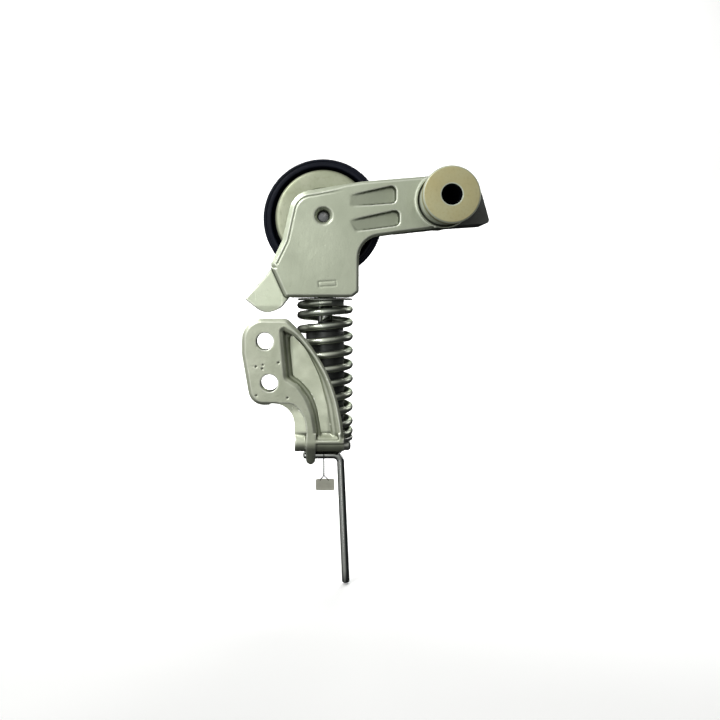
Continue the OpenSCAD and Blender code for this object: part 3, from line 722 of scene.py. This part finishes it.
def make_bush():
    """Flanged bush with grooves around its neck, a bore painted near-black as shade, and bare edges."""
    low, high = box_mm("pivot_bush")
    head, bore, neck = high.x, 5.25, 13.2
    shoulder, spigot = ARM_FRONT + 1, 10
    first_groove, groove_pitch, groove_deep = 6, 2.4, 0.5
    chamfer = 0.8
    grooves = []
    for k in range(5):
        y = first_groove + groove_pitch * k
        grooves += [(neck, y), (neck - groove_deep, y + 0.3), (neck - groove_deep, y + 0.9), (neck, y + 1.2)]
    profile = [
        (bore, low.y + 0.3), (bore + 0.3, low.y), (bore + 0.6, low.y), (head - chamfer, low.y),
        (head, low.y + chamfer), (head, 3.9), (neck, 5.1), *grooves, (neck, shoulder), (spigot, shoulder),
        (spigot, high.y - chamfer), (9.2, high.y), (bore, high.y)]
    piece = lathe("bush", "Y", Vector((0, 0, 0)), profile, GOLD, "pivot_mount",
                  ["pivot_bush"], 0.25, 192)
    piece.data.materials.append(BORE_SHADE)
    piece.data.materials.append(BARE)
    for face in piece.data.polygons:
        place = face.center / MM
        r = math.hypot(place.x, place.z)
        ring = r < bore + 0.6
        edge = r > head - 0.7 and place.y < low.y + 0.7
        grooved_neck = r > 11 and place.y > low.y + 3.5
        # the bore's wall takes the near-black finish, a painted shade
        if r < bore + 0.06 and abs(face.normal.y) < 0.5:
            face.material_index = 1
        elif ring or edge or grooved_neck:
            face.material_index = 2


def make_shield():
    """Pressed disc in front of the pulley, with a rolled rim and a raised ring."""
    low, high = box_mm("dust_shield")
    rim = (high.x - low.x) / 2
    y = low.y
    bore = 3.4
    profile = [
        (bore, y), (12.5, y), (13.2, y + 0.35), (15.4, y + 0.35), (16.1, y), (rim - 2.2, y),
        (rim - 0.9, y + 0.15), (rim, y + 1.0), (rim, high.y), (rim - 0.9, high.y), (rim - 0.9, y + 1.5),
        (rim - 1.6, y + 1.1), (bore, y + 1.1)]
    lathe("shield_disc", "Y", PULLEY, profile, SHIELD, "arm", ["dust_shield"], 0.3, 192)


def make_pulley():
    """Pulley with a thin web, a grooved face and a plain tread, and the bearing's two seals."""
    low, high = box_mm("pulley_rim")
    r = (high.x - low.x) / 2
    front, back = low.y, high.y
    web, hub, bore, hub_radius = 3, 6, 20, 22.6
    profile = [
        (bore, PULLEY.y - hub), (hub_radius, PULLEY.y - hub), (23, PULLEY.y - web),
        (r - 5, PULLEY.y - web - 0.8), (r - 4.6, front + 0.8), (r - 4.0, front), (r - 2.6, front),
        (r - 2.3, front + 0.35), (r - 1.7, front + 0.35), (r - 1.4, front), (r - 0.9, front),
        (r, front + 0.9), (r, back - 0.9), (r - 0.9, back), (r - 4.0, back), (r - 4.6, back - 0.8),
        (r - 5, PULLEY.y + web + 0.8), (23, PULLEY.y + web), (hub_radius, PULLEY.y + hub),
        (bore, PULLEY.y + hub)]
    lathe("pulley_tyre", "Y", PULLEY, profile, TYRE, "pulley", ["pulley_rim"], 0.4, 224)
    make_seal("seal_front", "front_seal", True)
    make_seal("seal_rear", "rear_seal", False)


def make_seal(name, node, faces_front):
    """Flat bearing seal with a shallow groove in its outer face."""
    low, high = box_mm(node)
    outer, inner = (high.x - low.x) / 2, 11.8
    step = 0.25 if faces_front else -0.25
    face, back = (low.y, high.y) if faces_front else (high.y, low.y)
    profile = [(inner, face), (12.6, face), (13.1, face + step), (15.2, face + step), (15.7, face),
               (outer, face), (outer, back), (inner, back)]
    lathe(name, "Y", PULLEY, profile, RUBBER, "pulley", [node], 0.15, 128)


def make_tube():
    """The strut's closed tube, with a rolled groove under its open end."""
    low, high = box_mm("damper_tube")
    r = (high.x - low.x) / 2
    top, bottom = high.z, low.z
    bore, floor, groove = 8.85, 2.2, 0.4
    profile = [
        (bore, top), (r - 1.0, top), (r - 0.3, top - 0.5), (r, top - 1.4), (r, top - 2.2),
        (r - groove, top - 2.7), (r - groove, top - 3.6), (r, top - 4.1), (r, bottom), (AXIS, bottom),
        (AXIS, bottom + floor), (bore, bottom + floor)]
    lathe("tube_shell", "Z", STRUT, profile, TUBE, "foot", ["damper_tube"], 0.25, 96)


def make_spring_seat():
    """Stepped plate that holds the spring's upper end."""
    low, high = box_mm("upper_spring_seat")
    r = (high.x - low.x) / 2
    top = high.z
    profile = [
        (6.02, top - 1.4), (6.02, top), (r - 0.5, top), (r, top - 0.4), (r, top - 0.9), (r - 0.2, top - 1.2),
        (10.6, top - 1.2), (10.4, low.z), (9, low.z), (9, top - 2.2), (4.02, top - 2.2), (4.02, top - 1.4)]
    # the plate takes the darker foot finish rather than the zinc plate, a painted shade under the arm
    lathe("seat_plate", "Z", STRUT, profile, FOOT, "strut", ["upper_spring_seat"], 0.25, 128)


def make_spring():
    """Right-handed coil with closed, ground ends."""
    low, high = box_mm("coil_spring")
    wire = 2.0
    mean = (high.x - low.x) / 2 - wire
    turns, closed = 10.0, 4.05
    height = high.z - low.z - 2 * wire
    open_pitch = (height - 2 * closed) / (turns - 2)

    def rise(t):
        if t < 1:
            z = closed * t
        elif t < turns - 1:
            z = closed + (t - 1) * open_pitch
        else:
            z = closed + (turns - 2) * open_pitch + closed * (t - turns + 1)
        ground = max(0, 1 - t) ** 2 - max(0, t - turns + 1) ** 2
        return low.z + wire + z - ground

    per_turn = 72
    start_deg, drift_deg = -90 - 12, 24
    points = []
    for k in range(int(turns * per_turn) + 1):
        t = k / per_turn
        around = math.radians(start_deg + 360 * t + drift_deg * t / turns)
        # the pitch changes softly, so the height is an average over a short stretch
        z = sum(rise(min(turns, max(0, t + d))) for d in (-0.06, -0.03, 0, 0.03, 0.06)) / 5
        points.append((STRUT.x + mean * math.cos(around), STRUT.y + mean * math.sin(around), z))
    bm = bmesh.new()
    sweep_into(bm, points, wire, 24, round_ends=False)
    for v in bm.verts:
        v.co.z = min(max(v.co.z, low.z * MM), high.z * MM)
    mesh = finished_mesh("spring_coil", bm, 40)
    piece = new_piece("spring_coil", mesh, SPRING, None, ["coil_spring"])
    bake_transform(piece)


def make_bolt():
    """Flanged hex bolt with a threaded end that shows in the arm's hole."""
    low, high = box_mm("pulley_bolt")
    top = high.y
    crest, root, pitch = 3.28, 2.75, 1.25
    shank, flange, seat = 4, 8, top - 6
    bm = bmesh.new()
    y = low.y + 2.8
    profile = [(AXIS, y - 0.2), (2.6, y)]
    while y < low.y + 13:
        profile += [(crest, y + 0.45), (crest, y + 0.6), (root, y + 1.05), (root, y + 1.2)]
        y += pitch
    profile += [(3.3, y), (3.3, seat - 18), (shank, seat - 18), (shank, seat), (flange, seat),
                (flange, seat + 0.9), (6.6, seat + 1.5), (AXIS, seat + 1.5)]
    lathe_into(bm, "Y", PULLEY, profile, 0.1, 64)
    corner = 7.5
    angles = [math.radians(60 * k + 30) for k in range(6)]
    hexagon = [(corner * math.cos(a), corner * math.sin(a)) for a in angles]
    # each level is (y, size of the hexagon there)
    levels = [(seat + 1.2, 0.97), (seat + 1.5, 1.0), (top - 0.7, 1.0), (top - 0.2, 0.93), (top, 0.86)]
    rings = [[bm.verts.new(Vector((PULLEY.x + hx * f, y, PULLEY.z + hz * f)) * MM) for hx, hz in hexagon]
             for y, f in levels]
    for one, two in zip(rings, rings[1:]):
        for k in range(6):
            bm.faces.new((one[k], one[(k + 1) % 6], two[(k + 1) % 6], two[k]))
    bm.faces.new(rings[0][::-1])
    bm.faces.new(rings[-1])
    new_piece("bolt_hex", finished_mesh("bolt_hex", bm, 30), BOLT, "arm", ["pulley_bolt"])


def make_bracket_pin():
    """Hinge pin with a flat head and a groove for its clip."""
    low, high = box_mm("bracket_pin")
    head, shank, groove = (high.z - low.z) / 2, 2.2, 1.7
    shoulder = high.x - 5
    profile = [
        (AXIS, low.x), (1.6, low.x), (shank, low.x + 0.6), (shank, low.x + 1.4), (groove, low.x + 1.4),
        (groove, low.x + 2.4), (shank, low.x + 2.4), (shank, shoulder), (head, shoulder),
        (head, high.x - 1.1), (head - 1.0, high.x), (1.3, high.x), (0.9, high.x - 0.5), (AXIS, high.x - 0.5)]
    lathe("hinge_pin", "X", HINGE, profile, FOOT, "bracket", ["bracket_pin"], 0.25, 96)


# ---- transport pin and tag ----

LOCK_RADIUS = 2.0


def make_transport_pin():
    """Bent rod: a short leg through the ear, a bend and a long straight handle."""
    low, high = box_mm("transport_pin")
    leg_y = (low.y + high.y) / 2
    leg_z = high.z - LOCK_RADIUS
    bend, bend_x, turn, steps = 4.0, -58.5, 87.5, 12
    points = [(x, leg_y, leg_z) for x in (low.x + 0.9, low.x + 2, bend_x - 6, bend_x)]
    for step in range(1, steps + 1):
        angle = math.radians(turn * step / steps)
        points.append((bend_x + bend * math.sin(angle), leg_y, leg_z - bend + bend * math.cos(angle)))
    end = Vector(points[-1])
    along = Vector((math.cos(math.radians(turn)), 0, -math.sin(math.radians(turn))))
    for length in (4, 20, 40, 58, 64.1):
        points.append(end + along * length)
    bm = bmesh.new()
    sweep_into(bm, points, LOCK_RADIUS, 40)
    mesh = finished_mesh("locking_rod", bm, 60)
    new_piece("locking_rod", mesh, CHROME, "locking_pin", ["transport_pin"])


def make_hanger():
    """Wire of the tag: a loop round the transport pin and two twisted strands that part over the tag."""
    wire_low, wire_high = box_mm("tag_wire")
    card_top = box_mm("tag_plate")[1].z
    hang_x, y = (wire_low.x + wire_high.x) / 2 - 0.2, middle("transport_pin").y
    leg_z = box_mm("transport_pin")[1].z - LOCK_RADIUS
    gauge, loop_radius = 0.31, 2.5
    bm = bmesh.new()
    loop = [(hang_x + 0.1 * math.sin(a), y + loop_radius * math.sin(a), leg_z + loop_radius * math.cos(a))
            for a in (math.radians(-168 + 336 * k / 40) for k in range(41))]
    sweep_into(bm, loop, gauge, 10)
    neck, fork = leg_z - 2.4, card_top + 2.2
    twists, spread, sunk = 3.2, 0.14, 0.9
    # each strand is (phase of its twist, how far its foot stands from the middle)
    for phase, foot in ((0, 2.4), (math.pi, -2.0)):
        strand = []
        for k in range(49):
            t = k / 48
            angle = math.radians(360 * twists * t) + phase
            strand.append((hang_x + spread * math.cos(angle), y + spread * math.sin(angle),
                           neck + (fork - neck) * t))
        last_x, last_y = strand[-1][:2]
        for k in range(1, 9):
            t = k / 8
            ease = t * t * (3 - 2 * t)
            strand.append((last_x + (hang_x + foot - last_x) * ease, last_y + (y - last_y) * t,
                           fork + (card_top - sunk - fork) * t))
        sweep_into(bm, strand, gauge, 10)
    new_piece("hanger_wire", finished_mesh("hanger_wire", bm, 70), WIRE, "tag", ["tag_wire"])


def make_card():
    """Blank card of the tag, slightly curled and with rounded corners."""
    low, high = box_mm("tag_plate")
    card_y = middle("transport_pin").y
    nx, nz, half_thick = 24, 14, 0.28
    width, height = high.x - low.x, high.z - low.z

    def card_point(u, v, side):
        curl = 0.35 * math.sin(math.pi * u) - 0.18 + 0.12 * math.sin(2.2 * math.pi * v)
        corner = (max(0, 0.08 - u) + max(0, u - 0.92)) * (max(0, 0.12 - v) + max(0, v - 0.88))
        inset = 31.5 * corner
        x = low.x + width * u + (inset if u < 0.5 else -inset)
        return Vector((x, card_y + side + curl, low.z + height * v)) * MM

    bm = bmesh.new()
    front, back = ([[bm.verts.new(card_point(i / nx, j / nz, side)) for j in range(nz + 1)]
                    for i in range(nx + 1)] for side in (-half_thick, half_thick))
    for i in range(nx):
        for j in range(nz):
            bm.faces.new((front[i][j], front[i + 1][j], front[i + 1][j + 1], front[i][j + 1]))
            bm.faces.new((back[i][j], back[i][j + 1], back[i + 1][j + 1], back[i + 1][j]))
    edge = ([(i, 0) for i in range(nx)] + [(nx, j) for j in range(nz)] + [(i, nz) for i in range(nx, 0, -1)]
            + [(0, j) for j in range(nz, 0, -1)])
    for (i, j), (k, m) in zip(edge, edge[1:] + edge[:1]):
        bm.faces.new((front[i][j], front[k][m], back[k][m], back[i][j]))
    new_piece("card_tag", finished_mesh("card_tag", bm, 40), CARD, "tag", ["tag_plate"])


# ---- CAD nodes that stay as they are ----

# each row is (node, finish, slot, bevel in millimetres)
DRESSED = (
    ("front_thrust_washer", RUBBER, "nylon", 0.15),
    ("rear_thrust_washer", RUBBER, "nylon", 0.15),
    ("pivot_circlip", BOLT, "bolt_steel", 0.15),
    ("pivot_liner", BRONZE, "bearing_bronze", 0.1),
    ("hub_cover", PLASTIC, "dark_plastic", 0.5),
    ("bearing_spacer", BEARING, "bearing_steel", 0.1),
    ("bearing_inner_ring", BEARING, "bearing_steel", 0.15),
    ("bearing_outer_ring", BEARING, "bearing_steel", 0.15),
    ("bearing_balls", BEARING, "bearing_steel", 0.0),
    ("ball_cage", BRONZE, "bearing_bronze", 0.0),
    ("pulley_washer", ZINC, "zinc_plate", 0.2),
    ("strut_top_pin", ZINC, "zinc_plate", 0.3),
    ("strut_rod", CHROME, "chrome_rod", 0.15),
    ("strut_eye_bush", BRONZE, "bearing_bronze", 0.1),
    ("damper_piston", BOLT, "bolt_steel", 0.1),
    ("rod_guide", RUBBER, "seal_rubber", 0.1),
    ("foot_bush", BRONZE, "bearing_bronze", 0.1),
    ("bracket_pin_clip", BOLT, "bolt_steel", 0.12),
    ("bracket_washers", RUBBER, "nylon", 0.05),
)


make_camera()
make_lights()
make_stage()
make_arm()
make_bracket()
make_foot()
make_bush()
make_shield()
make_pulley()
make_tube()
make_spring_seat()
make_spring()
make_bolt()
make_bracket_pin()
make_transport_pin()
make_hanger()
make_card()
for row in DRESSED:
    dress(*row)
